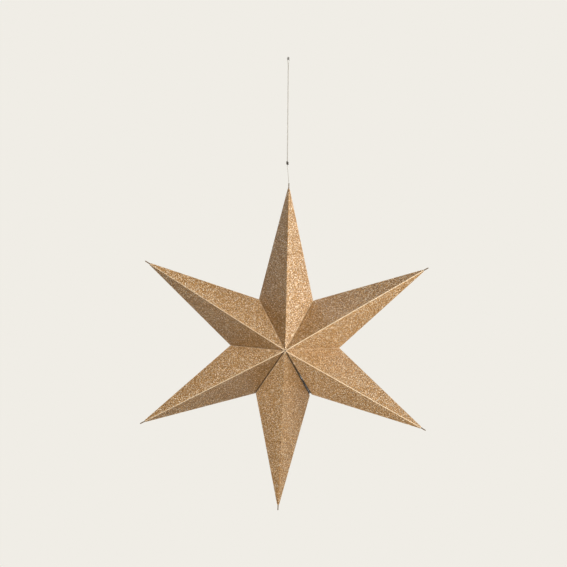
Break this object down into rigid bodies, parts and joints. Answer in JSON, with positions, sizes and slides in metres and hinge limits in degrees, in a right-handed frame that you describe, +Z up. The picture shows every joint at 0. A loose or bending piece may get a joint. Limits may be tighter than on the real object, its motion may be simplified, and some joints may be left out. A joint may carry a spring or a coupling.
{
  "type": "origami star",
  "caption": "Hanging pointed star folded from gold glitter card, with hollow ridged arms and a thin knotted thread loop at its top tip.",
  "frame": {"origin": "top of the hanging loop, where a hook or nail carries the star", "axes": "+Z up along the hanging thread, +X to the right seen from the front, +Y through the star from its front to its back"},
  "size_m": [0.3982, 0.1392, 0.6248],
  "materials": {
    "glitter_card": "fine glitter on one side, plain inside",
    "closure_tape": "short pile",
    "thread": "twisted, slightly shiny"
  },
  "bodies": {
    "root": {"arm_top": "glitter_card", "arm_upper_right": "glitter_card", "arm_lower_right": "glitter_card", "arm_bottom": "glitter_card", "arm_lower_left": "glitter_card", "arm_upper_left": "glitter_card", "closure_hook_tape": "closure_tape", "closure_loop_tape": "closure_tape", "thread_lower": "thread", "thread_knot": "thread", "thread_loop": "thread"}
  },
  "joints": []
}
